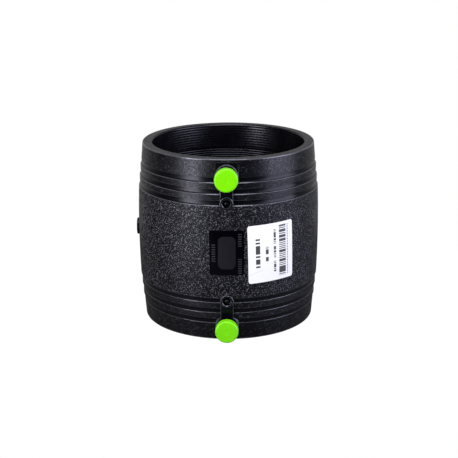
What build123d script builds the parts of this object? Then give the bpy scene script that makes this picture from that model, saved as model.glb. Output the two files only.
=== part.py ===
from build123d import *
import os

# Electrofusion coupler for polyethylene pressure pipe.
# Millimetres. The origin is the centre of the lower end, +Z runs along the bore,
# and both welding terminals point along -Y.

os.makedirs("parts", exist_ok=True)

# ---------------------------------------------------------------- driving dimensions

# Pipe and socket
pipe_diameter = 125.0          # outside diameter of the pipe that goes in
pipe_clearance = 1.4           # on the diameter, between pipe and socket
overall_length = 150.0
mouth_lead_in = 1.4            # bevel on the inner edge of each mouth
stop_count = 4                 # small lugs that the pipe ends meet half way
stop_height = 2.0
stop_width = 8.0
stop_thickness = 4.0

# Outside of the wall, from a mouth towards the middle
mouth_wall = 8.1               # wall thickness at the mouth
mouth_edge_bevel = 1.2
end_taper = 1.2                # how much the outside grows up to the first groove
first_groove = 14.7            # distance of the first groove from the mouth
groove_count = 3
groove_pitch = 9.0
groove_width = 4.2
groove_ledge = 0.4             # the sharp step down on the mouth side of a groove
band_rise = 0.85               # how much each band is larger than the one before it
barrel_swell = 0.85            # how much the barrel grows from the last groove to its middle
barrel_swell_length = 11.0     # and over what length

# Heating winding, one wire for both sockets in series
wire_diameter = 0.8             # of the bare wire, in the tails and the link
winding_thickness = 1.0        # of the coated wire, as wound
wire_cover = 0.6               # polyethylene between the bore and the wire
winding_inset = 21.0           # smooth bore between a mouth and its winding
winding_length = 34.0

# Welding terminals
terminal_inset = 13.0          # distance of a terminal's axis from its mouth
terminal_pin_diameter = 4.7
pin_stem_diameter = 4.0        # the end that is buried in the moulding
shroud_bore = 10.3
shroud_depth = 15.5
shroud_wall = 3.05
shroud_rim_chamfer = 0.4
pin_below_rim = 4.5
shroud_floor_height = 0.7      # floor of the shroud below the flat land
land_width = 18.4              # flat land behind a terminal
land_inset = 2.2               # where the land starts, from the mouth

# Push-on terminal cap
cap_fit = 0.05                 # radial clearance of the skirt on the shroud
cap_wall = 1.0
cap_top = 1.5
cap_seat_gap = 0.1
cap_depth = 6.0
cap_edge_bevel = 1.0

# Fusion indicators
indicator_inset = 34.5         # distance of an indicator from its mouth
indicator_boss_diameter = 10.6
indicator_boss_height = 2.0    # above the outer end of the barrel
indicator_boss_bevel = 0.4
indicator_well_diameter = 7.0
indicator_well_depth = 4.0
indicator_pin_diameter = 3.0
indicator_pin_fit = 0.05       # radial clearance of the pin in its guide
indicator_pin_below_rim = 1.0
indicator_floor = 1.2          # polyethylene left between the guide and the winding
indicator_seat_gap = 0.1

# Flat web between a terminal and its indicator
web_width = 10.3
web_height = 0.35              # above the outer end of the barrel

# Marking panel, a shallow pocket in the barrel
panel_width = 27.5
panel_height = 37.0
panel_corner = 1.6
panel_depth = 0.5

# Injection point on the side of the barrel
gate_diameter = 14.0
gate_height = 1.8
gate_bevel = 0.6

# Paper label
label_chord = 40.0             # straight across the curve
label_height = 48.0
label_corner = 1.8
label_thickness = 0.2
label_azimuth = 28.1           # degrees round from the terminals
label_tilt = 1.5               # degrees
label_drop = 2.0               # its centre below the middle of the barrel

# ---------------------------------------------------------------- derived dimensions

bore_radius = (pipe_diameter + pipe_clearance) / 2
mid_height = overall_length / 2
mouth_radius = bore_radius + mouth_wall
shoulder_radius = mouth_radius + end_taper
barrel_radius = shoulder_radius + groove_count * band_rise
crown_radius = barrel_radius + barrel_swell
barrel_start = first_groove + (groove_count - 1) * groove_pitch + groove_width
winding_inner = bore_radius + wire_cover
winding_outer = winding_inner + winding_thickness
wire_radius = (winding_inner + winding_outer) / 2
inside_wall = winding_outer + 1.0          # a depth that is surely inside the wall

land_face = shoulder_radius
shroud_floor = land_face - shroud_floor_height
shroud_rim = shroud_floor + shroud_depth
shroud_radius = shroud_bore / 2 + shroud_wall
pin_tip = shroud_rim - pin_below_rim

boss_face = barrel_radius + indicator_boss_height
web_face = barrel_radius + web_height
guide_end = winding_outer + indicator_floor

mouths = {"lower": 0.0, "upper": overall_length}


def height_of(end, inset):
    """Height of a place that lies a distance inwards from one mouth."""
    return mouths[end] + inset if end == "lower" else mouths[end] - inset


# ---------------------------------------------------------------- terminal pins

# Turned brass: a stem that is buried in the moulding and meets the wire, and the
# thicker contact that stands in the shroud.

terminal_pins = {}
for end in mouths:
    pin_height = height_of(end, terminal_inset)
    with BuildPart() as terminal_pin:
        with BuildSketch(Plane.XZ.offset(wire_radius)):
            with Locations((0, pin_height)):
                Circle(pin_stem_diameter / 2)
        extrude(amount=shroud_floor - wire_radius)
        with BuildSketch(Plane.XZ.offset(shroud_floor)):
            with Locations((0, pin_height)):
                Circle(terminal_pin_diameter / 2)
        extrude(amount=pin_tip - shroud_floor)
    terminal_pin.part.label = f"terminal_pin_{end}"
    export_step(terminal_pin.part, f"parts/terminal_pin_{end}.step")
    terminal_pins[end] = terminal_pin

# ---------------------------------------------------------------- heating coil

# One resistance wire: a close winding in each socket, a tail from each winding to
# its terminal pin, and a straight link across the middle. Each winding is a closed
# band of the height and thickness that its turns take up.

with BuildPart() as heating_coil:
    for end in mouths:
        winding_base = min(
            height_of(end, winding_inset), height_of(end, winding_inset + winding_length)
        )
        with BuildSketch(Plane.XY.offset(winding_base)):
            Circle(winding_outer)
            Circle(winding_inner, mode=Mode.SUBTRACT)
        extrude(amount=winding_length)
        tail_base = min(height_of(end, terminal_inset), height_of(end, winding_inset))
        with BuildSketch(Plane.XY.offset(tail_base)):
            with Locations((0, -wire_radius)):
                Circle(wire_diameter / 2)
        extrude(amount=winding_inset - terminal_inset)
    link_base = winding_inset + winding_length
    with BuildSketch(Plane.XY.offset(link_base)):
        with Locations((0, -wire_radius)):
            Circle(wire_diameter / 2)
    extrude(amount=overall_length - 2 * link_base)
    for terminal_pin in terminal_pins.values():
        add(terminal_pin.part, mode=Mode.SUBTRACT)

heating_coil.part.label = "heating_coil"
export_step(heating_coil.part, "parts/heating_coil.step")

# ---------------------------------------------------------------- coupler body

# The cutter of the marking panel: a rounded block whose back follows the barrel
with BuildPart() as panel_pocket:
    with BuildSketch(Plane.XZ.offset(inside_wall)):
        with Locations((0, mid_height)):
            RectangleRounded(panel_width, panel_height, panel_corner)
    extrude(amount=crown_radius + 1 - inside_wall)
    with Locations((0, 0, mid_height)):
        Cylinder(crown_radius - panel_depth, 2 * panel_height, mode=Mode.SUBTRACT)

with BuildPart() as coupler_body:
    # Half of the wall, from the lower mouth to the middle
    with BuildSketch(Plane.XZ):
        with BuildLine():
            Polyline(
                (mouth_radius, 0),
                (bore_radius, 0),
                (bore_radius, winding_inset),
                (winding_inner, winding_inset),
                (winding_inner, winding_inset + winding_length),
                (bore_radius, winding_inset + winding_length),
                (bore_radius, mid_height),
                (crown_radius, mid_height),
            )
            band_start = (mouth_radius, 0)
            for groove in range(groove_count):
                groove_start = first_groove + groove * groove_pitch
                band = shoulder_radius + groove * band_rise
                groove_floor = (band - groove_ledge, groove_start)
                groove_end = (band + band_rise, groove_start + groove_width)
                Polyline(band_start, (band, groove_start), groove_floor, groove_end)
                band_start = groove_end
            Polyline(
                band_start,
                (crown_radius, barrel_start + barrel_swell_length),
                (crown_radius, mid_height),
            )
        make_face()
    revolve(axis=Axis.Z)

    # Bevelled mouth
    mouth_edges = coupler_body.edges().filter_by(GeomType.CIRCLE).group_by(Axis.Z)[0]
    chamfer(mouth_edges.sort_by(SortBy.RADIUS)[0], mouth_lead_in)
    mouth_edges = coupler_body.edges().filter_by(GeomType.CIRCLE).group_by(Axis.Z)[0]
    chamfer(mouth_edges.sort_by(SortBy.RADIUS)[-1], mouth_edge_bevel)
    mirror(about=Plane.XY.offset(mid_height))

    for end in mouths:
        terminal_height = height_of(end, terminal_inset)
        indicator_height = height_of(end, indicator_inset)

        # Flat land between the mouth and the terminal
        with BuildSketch(Plane.XZ.offset(inside_wall)):
            with Locations((0, height_of(end, (land_inset + terminal_inset) / 2))):
                Rectangle(land_width, terminal_inset - land_inset)
        extrude(amount=land_face - inside_wall)

        # Web between the terminal and the indicator
        with BuildSketch(Plane.XZ.offset(inside_wall)):
            with Locations((0, (terminal_height + indicator_height) / 2)):
                Rectangle(web_width, indicator_inset - terminal_inset)
        extrude(amount=web_face - inside_wall)

        # Terminal shroud
        with BuildSketch(Plane.XZ.offset(inside_wall)):
            with Locations((0, terminal_height)):
                Circle(shroud_radius)
        extrude(amount=shroud_rim - inside_wall)
        rim_edge = coupler_body.edges().filter_by(GeomType.CIRCLE).sort_by_distance(
            (0, -shroud_rim, terminal_height)
        )[0]
        chamfer(rim_edge, shroud_rim_chamfer)
        with BuildSketch(Plane.XZ.offset(shroud_floor)):
            with Locations((0, terminal_height)):
                Circle(shroud_bore / 2)
        extrude(amount=shroud_depth, mode=Mode.SUBTRACT)

        # Indicator boss, with the well round the pin and the guide below it
        with BuildSketch(Plane.XZ.offset(inside_wall)):
            with Locations((0, indicator_height)):
                Circle(indicator_boss_diameter / 2)
        extrude(amount=boss_face - inside_wall)
        boss_edge = coupler_body.edges().filter_by(GeomType.CIRCLE).sort_by_distance(
            (0, -boss_face, indicator_height)
        )[0]
        chamfer(boss_edge, indicator_boss_bevel)
        with BuildSketch(Plane.XZ.offset(boss_face - indicator_well_depth)):
            with Locations((0, indicator_height)):
                Circle(indicator_well_diameter / 2)
        extrude(amount=indicator_well_depth, mode=Mode.SUBTRACT)
        with BuildSketch(Plane.XZ.offset(guide_end)):
            with Locations((0, indicator_height)):
                Circle(indicator_pin_diameter / 2 + indicator_pin_fit)
        extrude(amount=boss_face - guide_end, mode=Mode.SUBTRACT)

    # Injection point on the left of the barrel
    with BuildSketch(Plane.left.offset(inside_wall)):
        with Locations((0, mid_height)):
            Circle(gate_diameter / 2)
    extrude(amount=crown_radius + gate_height - inside_wall)
    gate_edge = coupler_body.edges().filter_by(GeomType.CIRCLE).group_by(Axis.X)[0]
    chamfer(gate_edge, gate_bevel)

    # Marking panel
    add(panel_pocket.part, mode=Mode.SUBTRACT)

    # Pipe stops, half of each one buried in the wall
    with Locations((0, 0, mid_height)):
        with PolarLocations(bore_radius, stop_count, start_angle=180 / stop_count):
            Box(2 * stop_height, stop_width, stop_thickness)

    # The wire and the pins are moulded in
    add(heating_coil.part, mode=Mode.SUBTRACT)
    for terminal_pin in terminal_pins.values():
        add(terminal_pin.part, mode=Mode.SUBTRACT)

coupler_body.part.label = "coupler_body"
export_step(coupler_body.part, "parts/coupler_body.step")

# ---------------------------------------------------------------- terminal caps

# Soft moulded cap: a plain skirt that pushes over the shroud, and a bevelled rim.

cap_seat = shroud_rim + cap_seat_gap
cap_face = cap_seat + cap_top
cap_back = cap_face - cap_depth
skirt_bore_radius = shroud_radius + cap_fit
for end in mouths:
    cap_height = height_of(end, terminal_inset)
    with BuildPart() as terminal_cap:
        with BuildSketch(Plane.XZ.offset(cap_back)):
            with Locations((0, cap_height)):
                Circle(skirt_bore_radius + cap_wall)
        extrude(amount=cap_depth)
        chamfer(terminal_cap.edges().group_by(Axis.Y)[0], cap_edge_bevel)
        with BuildSketch(Plane.XZ.offset(cap_back)):
            with Locations((0, cap_height)):
                Circle(skirt_bore_radius)
        extrude(amount=cap_seat - cap_back, mode=Mode.SUBTRACT)
    terminal_cap.part.label = f"terminal_cap_{end}"
    export_step(terminal_cap.part, f"parts/terminal_cap_{end}.step")

# ---------------------------------------------------------------- fusion indicators

# Loose polyethylene pin that the melt pushes out of its guide. Its head stands
# below the rim of the boss until then.

for end in mouths:
    indicator_height = height_of(end, indicator_inset)
    indicator_base = guide_end + indicator_seat_gap
    indicator_tip = boss_face - indicator_pin_below_rim
    with BuildPart() as indicator_pin:
        with BuildSketch(Plane.XZ.offset(indicator_base)):
            with Locations((0, indicator_height)):
                Circle(indicator_pin_diameter / 2)
        extrude(amount=indicator_tip - indicator_base)
    indicator_pin.part.label = f"indicator_pin_{end}"
    export_step(indicator_pin.part, f"parts/indicator_pin_{end}.step")

# ---------------------------------------------------------------- label

# Self-adhesive paper, wrapped on the crown of the barrel beside the panel

label_direction = Vector(0, -1, 0).rotate(Axis.Z, label_azimuth)
label_plane = Plane(
    origin=Vector(0, 0, mid_height - label_drop) + label_direction * inside_wall,
    x_dir=Vector(1, 0, 0).rotate(Axis.Z, label_azimuth),
    z_dir=label_direction,
)
with BuildPart() as label:
    # A skin over the straight middle of the barrel
    with BuildSketch(Plane.XY.offset(barrel_start + barrel_swell_length)):
        Circle(crown_radius + label_thickness)
        Circle(crown_radius, mode=Mode.SUBTRACT)
    extrude(amount=overall_length - 2 * (barrel_start + barrel_swell_length))

    # and the outline cut out of it
    with BuildSketch(label_plane):
        RectangleRounded(label_chord, label_height, label_corner, rotation=label_tilt)
    extrude(amount=crown_radius, mode=Mode.INTERSECT)

label.part.label = "label"
export_step(label.part, "parts/label.step")
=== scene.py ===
import math

import bpy
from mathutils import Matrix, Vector


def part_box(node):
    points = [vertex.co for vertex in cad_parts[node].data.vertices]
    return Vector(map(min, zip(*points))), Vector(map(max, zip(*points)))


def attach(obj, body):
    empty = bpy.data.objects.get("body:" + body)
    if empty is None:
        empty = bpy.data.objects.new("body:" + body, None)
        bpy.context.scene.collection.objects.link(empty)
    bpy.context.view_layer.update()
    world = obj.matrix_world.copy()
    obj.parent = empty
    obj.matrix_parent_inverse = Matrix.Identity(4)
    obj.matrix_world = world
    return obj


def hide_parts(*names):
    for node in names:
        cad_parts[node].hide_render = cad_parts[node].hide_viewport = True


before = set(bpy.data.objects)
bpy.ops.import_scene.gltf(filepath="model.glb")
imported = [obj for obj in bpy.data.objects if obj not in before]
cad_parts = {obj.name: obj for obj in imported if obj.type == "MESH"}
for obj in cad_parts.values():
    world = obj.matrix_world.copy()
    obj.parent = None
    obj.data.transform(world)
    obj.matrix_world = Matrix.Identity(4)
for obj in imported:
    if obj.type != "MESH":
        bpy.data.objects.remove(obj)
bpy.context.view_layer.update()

# ------------------------------------------------------------------ the wall
# One injection moulding in black polyethylene: two sockets, back to back. Three
# stepped grooves run round each end, and the barrel between them, spark-textured
# by the mould, swells slightly towards its middle. The sockets are smooth inside.

mm = 0.001
body_low, body_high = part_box("coupler_body")
body_length = body_high[2] - body_low[2]
body_middle = (body_low[2] + body_high[2]) / 2

bore_radius = 63.2 * mm
mouth_radius = 71.3 * mm
mouth_lead_in = 1.5 * mm
mouth_edge = 1.2 * mm
small_edge = 0.32 * mm
winding_start = 21.0 * mm
winding_length = 34.0 * mm
winding_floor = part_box("heating_coil")[1][0]

groove_count = 3
first_groove = 14.7 * mm
groove_pitch = 9.0 * mm
groove_width = 4.2 * mm
groove_ledge = 0.4 * mm
groove_floor = 1.5 * mm
band_rise = 0.85 * mm
cove_width = groove_width - groove_floor
cove_rise = band_rise + groove_ledge
cove_radius = (cove_width**2 + cove_rise**2) / (2 * cove_rise)
cove_steps = 7

shoulder_radius = 72.5 * mm
crown_radius = 75.9 * mm
barrel_start = first_groove + (groove_count - 1) * groove_pitch + groove_width
barrel_half = body_middle - barrel_start
barrel_swell = crown_radius - shoulder_radius - groove_count * band_rise
barrel_steps = 8
wall_segments = 288
arc_step = math.radians(18)
weld_distance = 0.004 * mm


def rounded(corners):
    """Turns (radius, height, fillet) corners into an outline whose corners are arcs."""
    outline = []
    for index, (r, z, fillet) in enumerate(corners):
        corner = Vector((r, z))
        if fillet == 0 or index in (0, len(corners) - 1):
            outline.append(corner)
            continue
        before = (Vector(corners[index - 1][:2]) - corner).normalized()
        after = (Vector(corners[index + 1][:2]) - corner).normalized()
        half = before.angle(after) / 2
        centre = corner + (before + after).normalized() * fillet / math.sin(half)
        start = corner + before * fillet / math.tan(half) - centre
        stop = corner + after * fillet / math.tan(half) - centre
        turn = math.copysign(math.pi - 2 * half, start.x * stop.y - start.y * stop.x)
        steps = max(2, round(abs(turn) / arc_step))
        for step in range(steps + 1):
            cosine, sine = math.cos(turn * step / steps), math.sin(turn * step / steps)
            spoke = (start.x * cosine - start.y * sine, start.x * sine + start.y * cosine)
            outline.append(centre + Vector(spoke))
    return outline


def turned(name, outline, segments):
    """Draws an outline of (radius, height) by extruding one vertex, and spins it about Z."""
    bpy.ops.object.select_all(action="DESELECT")
    bpy.ops.mesh.primitive_plane_add(size=mm)
    piece = bpy.context.object
    piece.name = piece.data.name = name
    bpy.ops.object.mode_set(mode="EDIT")
    bpy.ops.mesh.merge(type="CENTER")
    bpy.ops.transform.translate(value=(outline[0][0], 0, outline[0][1]))
    for here, there in zip(outline, outline[1:]):
        way = (there[0] - here[0], 0, there[1] - here[1])
        bpy.ops.mesh.extrude_region_move(TRANSFORM_OT_translate={"value": way})
    bpy.ops.mesh.select_all(action="SELECT")
    bpy.ops.mesh.spin(steps=segments, angle=2 * math.pi, center=(0, 0, 0), axis=(0, 0, 1))
    bpy.ops.mesh.select_all(action="SELECT")
    bpy.ops.mesh.remove_doubles(threshold=weld_distance)
    bpy.ops.mesh.normals_make_consistent(inside=False)
    bpy.ops.object.mode_set(mode="OBJECT")
    return piece


half_wall = [
    (bore_radius, body_middle, 0),
    (bore_radius, winding_start + winding_length, small_edge),
    (winding_floor, winding_start + winding_length, 0),
    (winding_floor, winding_start, 0),
    (bore_radius, winding_start, small_edge),
    (bore_radius, 0, mouth_lead_in),
    (mouth_radius, 0, mouth_edge),
]
for groove in range(groove_count):
    band = shoulder_radius + groove * band_rise
    start = first_groove + groove * groove_pitch
    half_wall.append((band, start, small_edge))
    half_wall.append((band - groove_ledge, start, 0))
    for step in range(cove_steps):
        reach = cove_width * step / cove_steps
        rise = cove_radius - math.sqrt(cove_radius**2 - reach**2)
        half_wall.append((band - groove_ledge + rise, start + groove_floor + reach, 0))
    half_wall.append((band + band_rise, start + groove_width, small_edge))
for step in range(1, barrel_steps + 1):
    share = 1 - step / barrel_steps
    reach = crown_radius - barrel_swell * share**2
    half_wall.append((reach, body_middle - barrel_half * share, 0))

lower_half = rounded(half_wall)
upper_half = [(r, body_length - z) for r, z in reversed(lower_half)]
coupler = turned("coupler_shell", lower_half + upper_half[1:], wall_segments)

black = (0.0022, 0.0022, 0.0036)
painted_highlight_grey = (0.06, 0.06, 0.07)
cool_sheen = (0.8, 0.8, 1, 1)
pit_level, plain_level, peak_level = 0.5, 0.58, 0.67
hollow_span = (0.46, 0.58)
cloud_scale = 55
cloud_span = (0.35, 0.65)
cloud_gloss = 0.04


def noise(tree, scale, detail):
    """An uneven pattern that stays with the piece."""
    texture = tree.nodes.new("ShaderNodeTexNoise")
    texture.inputs["Scale"].default_value = scale
    texture.inputs["Detail"].default_value = detail
    tree.links.new(tree.nodes["Texture Coordinate"].outputs["Object"], texture.inputs["Vector"])
    return texture.outputs["Fac"]


def mapped(tree, value, source, target):
    """Carries a value from one span of numbers to another."""
    span = tree.nodes.new("ShaderNodeMapRange")
    for end, number in zip(("From Min", "From Max", "To Min", "To Max"), (*source, *target)):
        span.inputs[end].default_value = number
    tree.links.new(value, span.inputs["Value"])
    return span.outputs["Result"]


def worked(tree, operation, *values):
    """One step of arithmetic on numbers and sockets."""
    step = tree.nodes.new("ShaderNodeMath")
    step.operation = operation
    for socket, value in zip(step.inputs, values):
        if isinstance(value, (int, float)):
            socket.default_value = value
        else:
            tree.links.new(value, socket)
    return step.outputs["Value"]


def bumped(tree, height, depth):
    """Raises the surface where a value is high, over any relief that it already has."""
    normal = tree.nodes["Principled BSDF"].inputs["Normal"]
    bump = tree.nodes.new("ShaderNodeBump")
    bump.inputs["Distance"].default_value = depth
    tree.links.new(height, bump.inputs["Height"])
    if normal.is_linked:
        tree.links.new(normal.links[0].from_socket, bump.inputs["Normal"])
    tree.links.new(bump.outputs["Normal"], normal)


def moulded(
    name, colour, roughness, grain, relief,
    pit_shade=0.3, peak_glint=None, dull=0.02, gloss=0.2, sheen=cool_sheen,
):
    """Moulded plastic: an uneven grain of the given size and depth, duller in its pits, with
    painted shade darkening the pits and painted glints paling the peaks, under a slow cloudiness
    in its gloss."""
    material = bpy.data.materials.new(name)
    material.use_nodes = True
    tree = material.node_tree
    tree.nodes.new("ShaderNodeTexCoord")
    shader = tree.nodes["Principled BSDF"]
    shader.inputs["Specular IOR Level"].default_value = gloss
    shader.inputs["Specular Tint"].default_value = sheen

    height = noise(tree, 1 / grain, 1)
    tones = tree.nodes.new("ShaderNodeValToRGB")
    pit, plain = tones.color_ramp.elements
    pit.position, plain.position = pit_level, plain_level
    # the pits are painted darker as shade, and the peaks paler as glints
    pit.color = (*[channel * (1 - pit_shade) for channel in colour], 1)
    plain.color = (*colour, 1)
    tones.color_ramp.elements.new(peak_level).color = (*(peak_glint or colour), 1)
    tree.links.new(height, tones.inputs["Fac"])
    tree.links.new(tones.outputs["Color"], shader.inputs["Base Color"])

    cloud = noise(tree, cloud_scale, 4)
    cloud = mapped(tree, cloud, cloud_span, (roughness - cloud_gloss, roughness + cloud_gloss))
    hollow = mapped(tree, height, hollow_span, (dull, 0))
    tree.links.new(worked(tree, "ADD", cloud, hollow), shader.inputs["Roughness"])
    bumped(tree, height, relief)
    return material


def turned_marks(material, pitch, depth):
    """Adds the fine rings that a turned core leaves in a moulding, across Z."""
    tree = material.node_tree
    rings = tree.nodes.new("ShaderNodeTexWave")
    rings.wave_type = "BANDS"
    rings.bands_direction = "Z"
    # at scale 1 the bands of this node lie pi / 10 apart
    rings.inputs["Scale"].default_value = math.pi / 10 / pitch
    rings.inputs["Distortion"].default_value = 0.3
    rings.inputs["Detail"].default_value = 1
    tree.links.new(tree.nodes["Texture Coordinate"].outputs["Object"], rings.inputs["Vector"])
    bumped(tree, rings.outputs["Fac"], depth)


# the pale specks on the peaks of the spark grain are painted glints
spark_black = moulded(
    "spark_textured_polyethylene", black, 0.27, 0.85 * mm, 0.23 * mm,
    pit_shade=0.75, peak_glint=(0.125, 0.125, 0.15), dull=0.28, gloss=0.17,
)
fine_black = moulded(
    "fine_grained_polyethylene", black, 0.25, 1.2 * mm, 0.15 * mm,
    pit_shade=0.5, peak_glint=(0.035, 0.035, 0.042), dull=0.14, gloss=0.26,
)
smooth_black = moulded("smooth_polyethylene", black, 0.24, 1.0 * mm, 0.01 * mm, gloss=0.22)
bore_black = moulded("socket_polyethylene", black, 0.26, 1.0 * mm, 0.01 * mm, gloss=0.5)
# a paler grey painted on rounded outer edges as a highlight, with a strong gloss
edge_highlight_black = moulded("edges_with_painted_highlight", painted_highlight_grey, 0.22, 0.8 * mm, 0.02 * mm, gloss=0.9)
turned_marks(bore_black, 2.2 * mm, 0.12 * mm)


def on_fillet(slope):
    """True for a face that is neither flat nor upright, from one part of its normal."""
    return 0.15 < abs(slope) < 0.97


def wall_finish(face):
    """The finish of a face of the wall, from where it lies; rounded outer edges get a painted
    highlight.
    """
    reach = math.hypot(face.center.x, face.center.y)
    from_mouth = min(face.center.z, body_length - face.center.z)
    into_groove = (from_mouth - first_groove) % groove_pitch
    from_edge = min(abs(into_groove - groove_width), groove_pitch - into_groove)
    if reach < winding_floor + small_edge and from_mouth > mouth_lead_in / 2:
        return bore_black
    outside = reach > mouth_radius - mouth_edge
    at_mouth = from_mouth < mouth_edge
    at_groove = from_edge < small_edge and from_mouth < barrel_start + small_edge
    # rounded outer edges at the mouths and grooves take the painted highlight
    if on_fillet(face.normal.z) and outside and (at_mouth or at_groove):
        return edge_highlight_black
    if from_mouth > barrel_start:
        return spark_black
    if from_mouth < first_groove or into_groove > groove_width:
        return fine_black
    return smooth_black


wall_finishes = (spark_black, fine_black, smooth_black, bore_black, edge_highlight_black)
for finish in wall_finishes:
    coupler.data.materials.append(finish)
for face in coupler.data.polygons:
    face.material_index = wall_finishes.index(wall_finish(face))

# ------------------------------------------------------------------ terminal shrouds
# The same moulding forms a hollow shroud round each terminal, which stands on a flat
# land across the grooves, and a web that carries the wires from it to the barrel.
# They are smooth, and their rounded front edges are painted paler as a highlight.

terminal_heights = {}
indicator_heights = {}
for end in ("lower", "upper"):
    for pin, heights in (("terminal", terminal_heights), ("indicator", indicator_heights)):
        low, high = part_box(pin + "_pin_" + end)
        heights[end] = (low[2] + high[2]) / 2

root = 67.0 * mm
buried = 69.0 * mm
shroud_radius = 8.2 * mm
shroud_bore = 5.15 * mm
shroud_floor = 71.8 * mm
shroud_rim = 87.3 * mm
shroud_foot = 72.3 * mm
shroud_flare = 0.7 * mm
shroud_segments = 96
bore_segments = 72
land_width = 18.4 * mm
land_face = 72.5 * mm
land_start = 2.2 * mm
web_width = 10.3 * mm
web_face = 75.4 * mm
block_edge = 0.5 * mm
past_face = 0.1 * mm
outwards = (math.pi / 2, 0, 0)


def chosen(piece):
    """Makes a piece the only one that operators act on."""
    bpy.ops.object.select_all(action="DESELECT")
    piece.select_set(True)
    bpy.context.view_layer.objects.active = piece


def placed(piece, turn, place=(0, 0, 0)):
    """Turns a piece about the origin, moves it to its place and leaves both in the mesh."""
    piece.rotation_euler = turn
    piece.location = place
    chosen(piece)
    bpy.ops.object.transform_apply(location=True, rotation=True, scale=True)
    return piece


def block(name, low, high, edge):
    """A rounded block between two corners."""
    bpy.ops.object.select_all(action="DESELECT")
    bpy.ops.mesh.primitive_cube_add(size=1, location=[(a + b) / 2 for a, b in zip(low, high)])
    piece = bpy.context.object
    piece.name = piece.data.name = name
    piece.scale = [b - a for a, b in zip(low, high)]
    bpy.ops.object.transform_apply(location=True, rotation=True, scale=True)
    bpy.ops.object.mode_set(mode="EDIT")
    bpy.ops.mesh.select_all(action="SELECT")
    bpy.ops.mesh.bevel(offset=edge, segments=4, affect="EDGES")
    bpy.ops.object.mode_set(mode="OBJECT")
    return piece


def front_block(name, width, face, ends):
    """A rounded block that stands out from the front of the wall, between two heights."""
    low = (-width / 2, -face, min(ends))
    high = (width / 2, -root, max(ends))
    return block(name, low, high, block_edge)


def combined(piece, other, operation):
    """Joins another solid to the piece, or cuts it away, and removes the other."""
    if not other.data.materials:
        other.data.materials.append(smooth_black)
    chosen(piece)
    cut = piece.modifiers.new(operation.lower(), "BOOLEAN")
    cut.operation = operation
    cut.solver = "EXACT"
    cut.material_mode = "TRANSFER"
    cut.object = other
    bpy.ops.object.modifier_apply(modifier=cut.name)
    bpy.data.objects.remove(other)


def with_painted_edge_highlight(piece):
    """Gives a piece's rounded front edges a paler colour, a painted highlight, and a shinier
    finish.
    """
    piece.data.materials.append(smooth_black)
    piece.data.materials.append(edge_highlight_black)
    for face in piece.data.polygons:
        if on_fillet(face.normal.y) and face.center.y < -buried:
            face.material_index = 1
    return piece


for end, z in terminal_heights.items():
    mouth, inward = (0, 1) if end == "lower" else (body_length, -1)
    shroud = rounded([
        (0, root, 0),
        (shroud_radius + 2 * shroud_flare, root, 0),
        (shroud_radius + 2 * shroud_flare, shroud_foot - shroud_flare, 0),
        (shroud_radius, shroud_foot + 2 * shroud_flare, 1.6 * mm),
        (shroud_radius, shroud_rim, 0.4 * mm),
        (0, shroud_rim, 0),
    ])
    shroud = placed(turned("shroud", shroud, shroud_segments), outwards, (0, 0, z))
    combined(coupler, with_painted_edge_highlight(shroud), "UNION")
    land = front_block("land", land_width, land_face, (mouth + inward * land_start, z))
    combined(coupler, land, "UNION")
    web = front_block("web", web_width, web_face, (z, indicator_heights[end]))
    combined(coupler, with_painted_edge_highlight(web), "UNION")
    bore = [
        (0, shroud_floor),
        (shroud_bore, shroud_floor),
        (shroud_bore, shroud_rim - 0.3 * mm),
        (shroud_bore + 0.4 * mm, shroud_rim + past_face),
        (0, shroud_rim + past_face),
    ]
    bore = placed(turned("shroud_bore", bore, bore_segments), outwards, (0, 0, z))
    combined(coupler, bore, "DIFFERENCE")

# ------------------------------------------------------------------ indicator bosses
# At the inner end of each web the moulding has a round boss, whose rounded rim is painted paler as
# a highlight. A well is sunk into it, with a narrow guide below for the pin that shows the joint
# is fused.

boss_radius = 5.3 * mm
boss_face = 77.05 * mm
well_radius = 3.5 * mm
well_floor = 73.05 * mm
guide_radius = 1.55 * mm
guide_foot = 65.8 * mm
boss_segments = 72
well_segments = 64
for z in indicator_heights.values():
    boss = rounded([
        (0, root, 0),
        (boss_radius, root, 0),
        (boss_radius, boss_face, 0.6 * mm),
        (0, boss_face, 0),
    ])
    boss = placed(turned("indicator_boss", boss, boss_segments), outwards, (0, 0, z))
    combined(coupler, with_painted_edge_highlight(boss), "UNION")
    well = rounded([
        (0, guide_foot, 0),
        (guide_radius, guide_foot, 0),
        (guide_radius, well_floor, 0),
        (well_radius, well_floor, 0.3 * mm),
        (well_radius, boss_face - 0.3 * mm, 0),
        (well_radius + 0.4 * mm, boss_face + past_face, 0),
        (0, boss_face + past_face, 0),
    ])
    well = placed(turned("indicator_well", well, well_segments), outwards, (0, 0, z))
    combined(coupler, with_painted_edge_highlight(well), "DIFFERENCE")

# ------------------------------------------------------------------ gate pad and pipe stops
# The plastic was let into the mould at a round pad on the side, where it left a dimple
# with a pip. Four small blocks moulded inside, at mid-length, stop the two pipes.

pad_radius = 7.0 * mm
pad_face = 77.7 * mm
pad_segments = 72
pad = rounded([
    (0, root, 0),
    (pad_radius, root, 0),
    (pad_radius, pad_face, 0.6 * mm),
    (2.2 * mm, pad_face, 0.5 * mm),
    (1.6 * mm, pad_face - 0.5 * mm, 0.3 * mm),
    (1.1 * mm, pad_face - 0.1 * mm, 0.2 * mm),
    (0, pad_face - 0.1 * mm, 0),
])
pad = placed(turned("gate_pad", pad, pad_segments), (0, -math.pi / 2, 0), (0, 0, body_middle))
combined(coupler, pad, "UNION")

stop_rise = 2.0 * mm
stop_width = 8.0 * mm
stop_height = 4.0 * mm
stop_back = bore_radius + 1.5 * mm
for azimuth in (45, 135, 225, 315):
    low = (bore_radius - stop_rise, -stop_width / 2, body_middle - stop_height / 2)
    high = (stop_back, stop_width / 2, body_middle + stop_height / 2)
    stop = placed(block("pipe_stop", low, high, 0.4 * mm), (0, 0, math.radians(azimuth)))
    combined(coupler, stop, "UNION")

# ------------------------------------------------------------------ marking panel
# A polished panel is sunk into the front of the barrel. It carries a blank raised
# plaque between two columns of plain raised bars, with one more column beside it.

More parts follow.
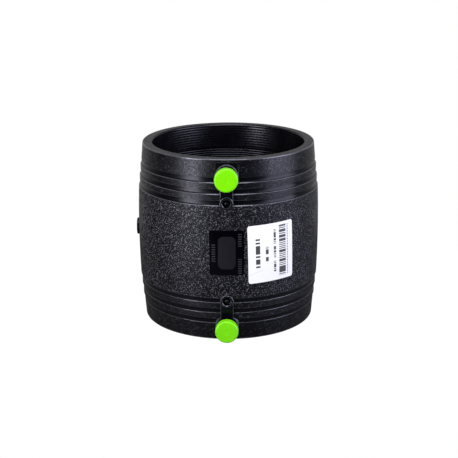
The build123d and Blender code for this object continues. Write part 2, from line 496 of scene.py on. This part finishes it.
panel_width = 27.5 * mm
panel_height = 37.0 * mm
panel_corner = 1.6 * mm
panel_back = 75.4 * mm
plaque_width = 14.0 * mm
plaque_height = 27.0 * mm
plaque_corner = 4.5 * mm
plaque_skin = panel_back + 0.22 * mm
plate_front = crown_radius + 1.0 * mm
plate_depth = 8.0 * mm
cut_speck = 0.001 * mm
bar_thickness = 0.8 * mm
bar_rise = 0.2 * mm
bar_sink = 1.0 * mm
bar_edge = 0.12 * mm
# each column: distance from the middle, length of a bar, first height, gap, number
bar_columns = [
    (-10.6 * mm, 3.0 * mm, -7.0 * mm, 1.9 * mm, 8),
    (10.4 * mm, 3.0 * mm, -17.0 * mm, 1.9 * mm, 7),
    (10.4 * mm, 3.0 * mm, 5.6 * mm, 1.9 * mm, 6),
    (15.4 * mm, 2.0 * mm, -15.5 * mm, 2.6 * mm, 11),
]


def curved_plate(name, width, height, corner, radius, operation, finish):
    """A plate with rounded corners at the front of the barrel, kept inside a radius with
    INTERSECT or outside it with DIFFERENCE."""
    bpy.ops.object.select_all(action="DESELECT")
    bpy.ops.mesh.primitive_plane_add(size=1)
    plate = bpy.context.object
    plate.name = plate.data.name = name
    plate.scale = (width, height, 1)
    placed(plate, outwards, (0, -plate_front, body_middle))
    bpy.ops.object.mode_set(mode="EDIT")
    bpy.ops.mesh.select_all(action="SELECT")
    bpy.ops.mesh.bevel(offset=corner, segments=6, affect="VERTICES")
    bpy.ops.mesh.extrude_region_move(TRANSFORM_OT_translate={"value": (0, plate_depth, 0)})
    bpy.ops.mesh.select_all(action="SELECT")
    bpy.ops.mesh.normals_make_consistent(inside=False)
    bpy.ops.object.mode_set(mode="OBJECT")
    low, high = body_middle - height, body_middle + height
    core = [(0, low), (radius, low), (radius, high), (0, high)]
    core = turned(name + "_core", core, wall_segments)
    for piece in (plate, core):
        piece.data.materials.append(finish)
    combined(plate, core, operation)
    return plate


def joined(name, pieces):
    """Makes one object of several."""
    chosen(pieces[0])
    for piece in pieces:
        piece.select_set(True)
    bpy.ops.object.join()
    pieces[0].name = pieces[0].data.name = name
    return pieces[0]


def soft_shaded(piece, angle):
    """Shades a piece smooth, apart from its edges, with its large faces kept flat."""
    chosen(piece)
    bpy.ops.object.shade_smooth_by_angle(angle=math.radians(angle))
    weighted = piece.modifiers.new("weighted", "WEIGHTED_NORMAL")
    weighted.keep_sharp = True
    bpy.ops.object.modifier_apply(modifier=weighted.name)


polished_black = moulded(
    "polished_polyethylene", (0.0008, 0.0008, 0.002), 0.2, 1.0 * mm, 0.01 * mm, gloss=0.15,
)
matt_black = moulded("matt_polyethylene", (0.007, 0.007, 0.0095), 0.5, 0.8 * mm, 0.05 * mm)
bar_black = moulded("raised_bar_polyethylene", (0.028, 0.028, 0.034), 0.45, 0.8 * mm, 0.04 * mm)
combined(coupler, curved_plate(
    "panel_pocket", panel_width, panel_height, panel_corner,
    panel_back, "DIFFERENCE", polished_black,
), "DIFFERENCE")
combined(coupler, curved_plate(
    "panel_plaque", plaque_width, plaque_height, plaque_corner,
    plaque_skin, "INTERSECT", matt_black,
), "UNION")
bars = []
for across, length, first, gap, count in bar_columns:
    surface = panel_back if abs(across) < panel_width / 2 else crown_radius
    for number in range(count):
        z = body_middle + first + gap * number
        low = (-length / 2, -surface - bar_rise, z - bar_thickness / 2)
        high = (length / 2, -surface + bar_sink, z + bar_thickness / 2)
        bar = placed(block("bar", low, high, bar_edge), (0, 0, math.asin(across / surface)))
        bar.data.materials.append(bar_black)
        bars.append(bar)
combined(coupler, joined("panel_bars", bars), "UNION")

# the cuts leave a few corners doubled, a hair apart, and these are merged
chosen(coupler)
bpy.ops.object.mode_set(mode="EDIT")
bpy.ops.mesh.select_all(action="SELECT")
bpy.ops.mesh.remove_doubles(threshold=cut_speck)
bpy.ops.object.mode_set(mode="OBJECT")
soft_shaded(coupler, 28)
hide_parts("coupler_body")
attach(coupler, "coupler")

# ------------------------------------------------------------------ heating winding
# One resistance wire, sleeved in black polyethylene, is wound turn against turn into
# each socket. It crosses from one winding to the other and ends at the terminals.

wire_pitch = 2.0 * mm
wire_radius = 0.4 * mm
wire_side = 64.3 * mm
wire_segments = 16
sleeve_half_width = 0.97 * mm
winding_inner = 63.8 * mm
sleeve_centre = (winding_inner + winding_floor) / 2
sleeve_half_depth = (winding_floor - winding_inner) / 2
sleeve_sides = 12
steps_per_turn = 128
turns = int(winding_length / wire_pitch) - 1
winding_starts = (winding_start, body_length - winding_start - winding_length)

winding_parts = []
for start in winding_starts:
    bpy.ops.object.select_all(action="DESELECT")
    bpy.ops.mesh.primitive_circle_add(vertices=sleeve_sides, radius=1, fill_type="NGON")
    sleeve = bpy.context.object
    sleeve.scale = (sleeve_half_depth, sleeve_half_width, 1)
    placed(sleeve, outwards, (sleeve_centre, 0, start + wire_pitch / 2))
    screw = sleeve.modifiers.new("turns", "SCREW")
    screw.axis = "Z"
    screw.angle = 2 * math.pi * turns
    screw.screw_offset = wire_pitch * turns
    screw.steps = screw.render_steps = steps_per_turn * turns
    bpy.ops.object.modifier_apply(modifier=screw.name)
    winding_parts.append(sleeve)
wire_runs = [
    (terminal_heights["lower"], winding_starts[0]),
    (winding_starts[0] + winding_length, winding_starts[1]),
    (winding_starts[1] + winding_length, terminal_heights["upper"]),
]
for low, high in wire_runs:
    run = [(0, low), (wire_radius, low), (wire_radius, high), (0, high)]
    run = turned("wire_run", run, wire_segments)
    winding_parts.append(placed(run, (0, 0, 0), (0, -wire_side, 0)))
winding = joined("heating_winding", winding_parts)
bpy.ops.object.mode_set(mode="EDIT")
bpy.ops.mesh.select_all(action="SELECT")
bpy.ops.mesh.fill_holes(sides=sleeve_sides)
bpy.ops.mesh.select_all(action="SELECT")
bpy.ops.mesh.normals_make_consistent(inside=False)
bpy.ops.object.mode_set(mode="OBJECT")
soft_shaded(winding, 50)
winding.data.materials.append(moulded("wire_sleeve", black, 0.26, 1.5 * mm, 0.03 * mm, gloss=0.38))
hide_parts("heating_coil")
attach(winding, "coupler")

# ------------------------------------------------------------------ terminal pins
# Turned brass pins, tinned, are moulded into the body inside the shrouds. Their round
# tips take the welding machine's plugs.

pin_stem = 2.0 * mm
pin_radius = 2.35 * mm
pin_foot = 64.8 * mm
pin_tip = 82.8 * mm
pin_segments = 48
neutral_sheen = (1, 1, 1, 1)
tinned = moulded(
    "tinned_brass", (0.62, 0.56, 0.42), 0.25, 0.6 * mm, 0.01 * mm,
    pit_shade=0.2, peak_glint=(0.7, 0.65, 0.52), sheen=neutral_sheen,
)
tinned.node_tree.nodes["Principled BSDF"].inputs["Metallic"].default_value = 1
for end, z in terminal_heights.items():
    pin = rounded([
        (0, pin_foot, 0),
        (pin_stem, pin_foot, 0),
        (pin_stem, shroud_floor - 0.3 * mm, 0),
        (pin_radius, shroud_floor, 0),
        (pin_radius, pin_tip, 1.1 * mm),
        (0, pin_tip, 0),
    ])
    pin = placed(turned("tinned_pin_" + end, pin, pin_segments), outwards, (0, 0, z))
    soft_shaded(pin, 40)
    pin.data.materials.append(tinned)
    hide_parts("terminal_pin_" + end)
    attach(pin, "coupler")

# ------------------------------------------------------------------ terminal caps
# Soft lime-green polyethylene caps are pushed over the shroud rims to keep dirt off
# the pins. Each has a thin skirt, a rounded rim and the dimple of its gate.

cap_radius = 9.25 * mm
cap_bore = 8.25 * mm
cap_back = 82.9 * mm
cap_seat = 87.4 * mm
cap_face = 88.9 * mm
dimple_radius = 2.2 * mm
dimple_depth = 0.15 * mm
cap_segments = 96
lime = moulded(
    "lime_polyethylene", (0.188, 0.715, 0.001), 0.3, 1.6 * mm, 0.02 * mm,
    pit_shade=0.04, gloss=0.5, sheen=neutral_sheen,
)
lime.node_tree.nodes["Principled BSDF"].inputs["Subsurface Weight"].default_value = 0.2
lime.node_tree.nodes["Principled BSDF"].inputs["Subsurface Scale"].default_value = 2 * mm
for end, z in terminal_heights.items():
    cap = rounded([
        (0, cap_seat, 0),
        (cap_bore, cap_seat, 0.3 * mm),
        (cap_bore, cap_back, 0.35 * mm),
        (cap_radius, cap_back, 0.35 * mm),
        (cap_radius, cap_face, 1.3 * mm),
        (dimple_radius, cap_face, 0.3 * mm),
        (dimple_radius - 0.7 * mm, cap_face - dimple_depth, 0.3 * mm),
        (0, cap_face - dimple_depth, 0),
    ])
    cap = placed(turned("lime_cap_" + end, cap, cap_segments), outwards, (0, 0, z))
    soft_shaded(cap, 40)
    cap.data.materials.append(lime)
    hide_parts("terminal_cap_" + end)
    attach(cap, end + "_cap")

# ------------------------------------------------------------------ fusion indicators
# A small black polyethylene pin with a domed tip stands in the well of each boss. It is
# loose in its guide, and the melt pushes it out when the joint is made.

rod_radius = 1.5 * mm
rod_foot = 66.1 * mm
rod_tip = 76.05 * mm
rod_segments = 32
rod_black = moulded(
    "indicator_polyethylene", (0.005, 0.005, 0.007), 0.2, 0.8 * mm, 0.01 * mm, gloss=0.5,
)
for end, z in indicator_heights.items():
    rod = rounded([
        (0, rod_foot, 0),
        (rod_radius, rod_foot, 0.2 * mm),
        (rod_radius, rod_tip, 0.9 * mm),
        (0, rod_tip, 0),
    ])
    rod = placed(turned("indicator_rod_" + end, rod, rod_segments), outwards, (0, 0, z))
    soft_shaded(rod, 40)
    rod.data.materials.append(rod_black)
    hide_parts("indicator_pin_" + end)
    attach(rod, end + "_indicator")

# ------------------------------------------------------------------ label
# A white coated paper label, stuck on by hand and so a little askew, is printed with runs of
# plain dashes and a field of stripes that say nothing. Its crease is not modelled: a thin dark
# line of painted shade stands in for it.

label_width = 40.0 * mm
label_height = 48.0 * mm
label_corner = 1.8 * mm
label_thickness = 0.2 * mm
label_azimuth = math.radians(28.1)
label_tilt = math.radians(1.5)
label_drop = 2.0 * mm
bpy.ops.object.select_all(action="DESELECT")
bpy.ops.mesh.primitive_grid_add(x_subdivisions=40, y_subdivisions=24, size=1)
label = bpy.context.object
label.name = label.data.name = "paper_label"
label.scale = (label_width, label_height, 1)
placed(label, (0, 0, 0))
for vertex in label.data.vertices:
    over_x = abs(vertex.co.x) - (label_width / 2 - label_corner)
    over_y = abs(vertex.co.y) - (label_height / 2 - label_corner)
    reach = math.hypot(over_x, over_y)
    if over_x > 0 and over_y > 0 and reach > label_corner:
        vertex.co.x -= math.copysign(over_x * (1 - label_corner / reach), vertex.co.x)
        vertex.co.y -= math.copysign(over_y * (1 - label_corner / reach), vertex.co.y)
placed(label, (0, 0, label_tilt))
placed(label, outwards, (0, 0, body_middle - label_drop))
for vertex in label.data.vertices:
    rise = (vertex.co.z - body_middle) / barrel_half
    reach = crown_radius - barrel_swell * rise**2
    vertex.co.y = -math.sqrt(reach**2 - vertex.co.x**2)
placed(label, (0, 0, label_azimuth))
paper = label.modifiers.new("paper", "SOLIDIFY")
paper.thickness = label_thickness
paper.offset = 1
bpy.ops.object.modifier_apply(modifier=paper.name)
soft_shaded(label, 40)

ink_and_shade_colour = (0.05, 0.05, 0.055, 1)
seed_step = 17
fold_slope = 0.22
fold_start = 0.15
fold_end = 0.3
fold_half_width = 0.012
fold_shade = 0.09
# each run of print: left and right edge, bottom and top, steps, share of gaps inked
print_runs = [
    (0.155, 0.245, 0.235, 0.765, 34, 0.12),
    (0.365, 0.425, 0.36, 0.44, 60, 0.3),
    (0.365, 0.425, 0.48, 0.62, 60, 0.3),
    (0.545, 0.595, 0.155, 0.35, 76, 0.3),
    (0.545, 0.595, 0.39, 0.6, 76, 0.3),
    (0.545, 0.595, 0.64, 0.895, 76, 0.3),
    (0.67, 0.83, 0.06, 0.95, 62, 0.22),
    (0.86, 0.885, 0.07, 0.95, 70, 0.0),
]

paper_white = moulded(
    "coated_paper", (0.84, 0.84, 0.87), 0.4, 1.2 * mm, 0.01 * mm,
    pit_shade=0.03, gloss=0.4, sheen=neutral_sheen,
)
tree = paper_white.node_tree
sheet = tree.nodes.new("ShaderNodeSeparateXYZ")
tree.links.new(tree.nodes["Texture Coordinate"].outputs["UV"], sheet.inputs["Vector"])
sheet_x, sheet_y = sheet.outputs["X"], sheet.outputs["Y"]


def dashes(count, share, seed):
    """Dashes up the sheet: every other step is inked, and about this share of the rest."""
    cell = worked(tree, "FLOOR", worked(tree, "MULTIPLY", sheet_y, count))
    chance = tree.nodes.new("ShaderNodeTexWhiteNoise")
    chance.noise_dimensions = "1D"
    tree.links.new(worked(tree, "ADD", cell, seed), chance.inputs["W"])
    bridged = worked(tree, "LESS_THAN", chance.outputs["Value"], share)
    return worked(tree, "MAXIMUM", worked(tree, "MODULO", cell, 2), bridged)


# a thin dark line of painted shade, where a crease would throw its shade, mixed in with the print
crease_shade_mask = worked(tree, "MULTIPLY_ADD", sheet_x, fold_slope, fold_start)
crease_shade_mask = worked(tree, "COMPARE", sheet_y, crease_shade_mask, fold_half_width)
crease_shade_mask = worked(tree, "MULTIPLY", crease_shade_mask, worked(tree, "LESS_THAN", sheet_x, fold_end))
ink_and_crease_shade = worked(tree, "MULTIPLY", crease_shade_mask, fold_shade)
for index, (left, right, bottom, top, steps, share) in enumerate(print_runs):
    across = worked(tree, "COMPARE", sheet_x, (left + right) / 2, (right - left) / 2)
    along = worked(tree, "COMPARE", sheet_y, (bottom + top) / 2, (top - bottom) / 2)
    run = worked(tree, "MULTIPLY", across, along)
    run = worked(tree, "MULTIPLY", run, dashes(steps, share, seed_step * index))
    ink_and_crease_shade = worked(tree, "MAXIMUM", ink_and_crease_shade, run)
printed = tree.nodes.new("ShaderNodeMix")
printed.data_type = "RGBA"
printed.inputs["B"].default_value = ink_and_shade_colour
tree.links.new(ink_and_crease_shade, printed.inputs["Factor"])
tree.links.new(tree.nodes["Color Ramp"].outputs["Color"], printed.inputs["A"])
tree.links.new(printed.outputs["Result"], tree.nodes["Principled BSDF"].inputs["Base Color"])
label.data.materials.append(paper_white)
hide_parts("label")
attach(label, "coupler")

# ------------------------------------------------------------------ floor, light and camera
# The coupler stands on a plain pale round table before a white backdrop, between a
# tall soft lamp at its left, a wider and cooler one at its right and one above.

floor_radius = 280 * mm
floor_grey = (0.12, 0.12, 0.12, 1)
floor_glow = 0.94
white = (1, 1, 1, 1)
backdrop_span = (0.1, 0.7)
backdrop_glow = (0.01, 0.4)


def seen_directly(tree):
    """One for rays from the camera and through clear things, and nought for the rest."""
    ray = tree.nodes.new("ShaderNodeLightPath")
    rays = ray.outputs["Is Camera Ray"], ray.outputs["Is Transmission Ray"]
    return worked(tree, "MAXIMUM", *rays)


bpy.ops.object.select_all(action="DESELECT")
bpy.ops.mesh.primitive_circle_add(vertices=96, radius=floor_radius, fill_type="NGON")
floor = bpy.context.object
floor.name = "floor"
pale = bpy.data.materials.new("pale_floor")
pale.use_nodes = True
tree = pale.node_tree
board = tree.nodes["Principled BSDF"]
board.inputs["Base Color"].default_value = floor_grey
board.inputs["Roughness"].default_value = 0.8
board.inputs["Emission Color"].default_value = white
glow = worked(tree, "MULTIPLY", seen_directly(tree), floor_glow)
tree.links.new(glow, board.inputs["Emission Strength"])
floor.data.materials.append(pale)

studio = bpy.data.worlds.new("studio")
studio.use_nodes = True
bpy.context.scene.world = studio
tree = studio.node_tree
backcloth = tree.nodes["Background"]
backcloth.inputs["Color"].default_value = white
place = tree.nodes.new("ShaderNodeTexCoord")
way = tree.nodes.new("ShaderNodeSeparateXYZ")
tree.links.new(place.outputs["Generated"], way.inputs["Vector"])
backdrop = mapped(tree, way.outputs["Y"], backdrop_span, backdrop_glow)
strength = worked(tree, "MAXIMUM", seen_directly(tree), backdrop)
tree.links.new(strength, backcloth.inputs["Strength"])


def direction(azimuth, elevation):
    """The way from the coupler to a lamp or the camera. Azimuth 0 is in front, and grows
    to the right."""
    level = math.cos(elevation)
    return Vector((math.sin(azimuth) * level, -math.cos(azimuth) * level, math.sin(elevation)))


def aimed(name, data, target, away):
    """Stands a lamp or the camera this far away from its target, and turns it there."""
    holder = bpy.data.objects.new(name, data)
    bpy.context.scene.collection.objects.link(holder)
    holder.location = target + away
    holder.rotation_euler = (-away).to_track_quat("-Z", "Y").to_euler()
    return holder


# each lamp: azimuth, elevation, distance, width and height, power, colour
lamps = {
    "left_softbox": (-46, 8, 1.1, (0.4, 1.15), 16, (1.0, 0.99, 0.97)),
    "right_softbox": (70, 14, 1.1, (0.85, 1.15), 16, (0.88, 0.89, 1.0)),
    "top_softbox": (0, 66, 1.0, (0.7, 0.4), 7, (1.0, 1.0, 1.0)),
}
for name, (azimuth, elevation, distance, size, power, colour) in lamps.items():
    lamp = bpy.data.lights.new(name, "AREA")
    lamp.shape = "RECTANGLE"
    lamp.size, lamp.size_y = size
    lamp.energy = power
    lamp.color = colour
    away = direction(math.radians(azimuth), math.radians(elevation)) * distance
    aimed(name, lamp, Vector((0, 0, body_middle)), away)

camera_distance = 0.97345
camera_elevation = 0.2951
camera_azimuth = math.radians(1.15)
camera_roll = math.radians(-0.25)
camera_shift = 0.37 * mm
look_height = 71.96 * mm
view = bpy.data.cameras.new("camera")
view.lens = 89.72
view.sensor_width = 36
sideways = Vector((math.cos(camera_azimuth), math.sin(camera_azimuth), 0)) * camera_shift
away = direction(camera_azimuth, camera_elevation) * camera_distance
camera = aimed("camera", view, Vector((0, 0, look_height)) + sideways, away)
camera.rotation_euler.rotate_axis("Z", camera_roll)
bpy.context.scene.camera = camera
bpy.context.scene.view_settings.view_transform = "Standard"
